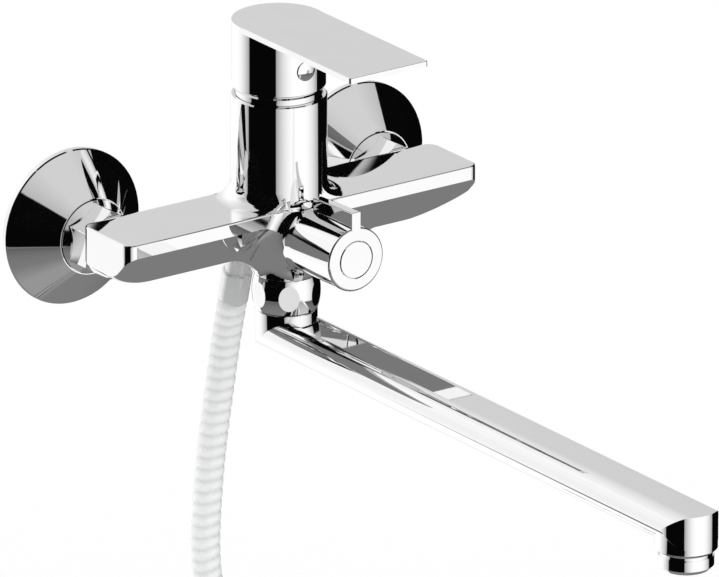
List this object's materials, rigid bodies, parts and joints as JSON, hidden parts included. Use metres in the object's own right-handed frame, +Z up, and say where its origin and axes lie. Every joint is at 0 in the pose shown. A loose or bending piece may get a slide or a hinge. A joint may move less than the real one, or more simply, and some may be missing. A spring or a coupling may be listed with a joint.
{
  "type": "wall mounted bath faucet",
  "caption": "Chrome wall mounted bath mixer: single lever, long swivel spout, knob diverter, eccentric unions with covers, and a shower hose.",
  "frame": {"origin": "midway between the two supply inlets, on the finished wall plane", "axes": "+X to the right seen from the front, +Y into the wall, +Z up"},
  "size_m": [0.2196, 0.3797, 0.4516],
  "materials": {
    "chrome": "bright chrome plating on cast or turned brass",
    "brass": "raw machined brass",
    "steel": "bright stainless steel screws and pins",
    "rubber": "black seal rubber",
    "white_plastic": "white or natural moulded acetal",
    "ceramic": "polished alumina ceramic, stood in for by gloss plastic",
    "plug_plastic": "chromed plug",
    "hose": "silver-grey spiral hose",
    "tie": "soft black strap"
  },
  "bodies": {
    "faucet": {"body_casting": "chrome", "cartridge_base": "white_plastic", "cartridge_seals": "rubber", "fixed_disc": "ceramic", "cartridge_housing": "white_plastic", "cartridge_nut": "brass", "dome_ring": "chrome", "diverter_headwork": "brass", "diverter_fixed_disc": "ceramic", "spout_nut": "chrome", "tail_ring": "white_plastic", "outlet_nipple": "chrome", "hose_washer": "rubber", "hose_nut": "chrome", "hose_ferrule": "chrome", "hose": "hose", "hose_coil": "hose", "hose_end_ferrule": "chrome", "cone_nut": "chrome", "coil_tie": "tie", "union_left": "brass", "escutcheon_left": "chrome", "union_nut_left": "chrome", "union_washer_left": "rubber", "inlet_nipple_left": "brass", "union_right": "brass", "escutcheon_right": "chrome", "union_nut_right": "chrome", "union_washer_right": "rubber", "inlet_nipple_right": "brass"},
    "lever_carrier": {"cartridge_carrier": "white_plastic", "lever_pin": "steel"},
    "lever": {"lever_stem": "brass", "handle": "chrome", "handle_grub_screw": "steel", "indicator_plug": "plug_plastic"},
    "mixing_disc": {"moving_disc": "ceramic", "disc_driver": "white_plastic"},
    "diverter": {"diverter_spindle": "brass", "diverter_moving_disc": "ceramic", "diverter_knob": "chrome", "knob_screw": "steel", "knob_cap": "chrome"},
    "spout": {"spout": "chrome", "tail_o_rings": "rubber", "aerator_housing": "chrome", "aerator_insert": "white_plastic", "aerator_washer": "rubber"}
  },
  "joints": [
    {"name": "lever_turn", "type": "hinge", "parent": "faucet", "child": "lever_carrier", "pos_m": [0, -0.0504, 0.0675], "axis": [0, 0, 1], "range_deg": [-45, 45]},
    {"name": "lever_lift", "type": "hinge", "parent": "lever_carrier", "child": "lever", "pos_m": [0, -0.0504, 0.0675], "axis": [-1, 0, 0], "range_deg": [0, 25]},
    {"name": "disc_slide", "type": "slide", "parent": "lever_carrier", "child": "mixing_disc", "axis": [0, -1, 0], "range_m": [0, 0.0047]},
    {"name": "diverter_turn", "type": "hinge", "parent": "faucet", "child": "diverter", "pos_m": [0, -0.09, 0.008], "axis": [0, 1, 0], "range_deg": [0, 90]},
    {"name": "spout_swing", "type": "hinge", "parent": "faucet", "child": "spout", "pos_m": [0, -0.0557, -0.03], "axis": [0, 0, 1], "range_deg": [-90, 90]}
  ],
  "couplings": [
    {"joint": "disc_slide", "follows": "lever_lift", "m_per_rad": 0.01065}
  ]
}
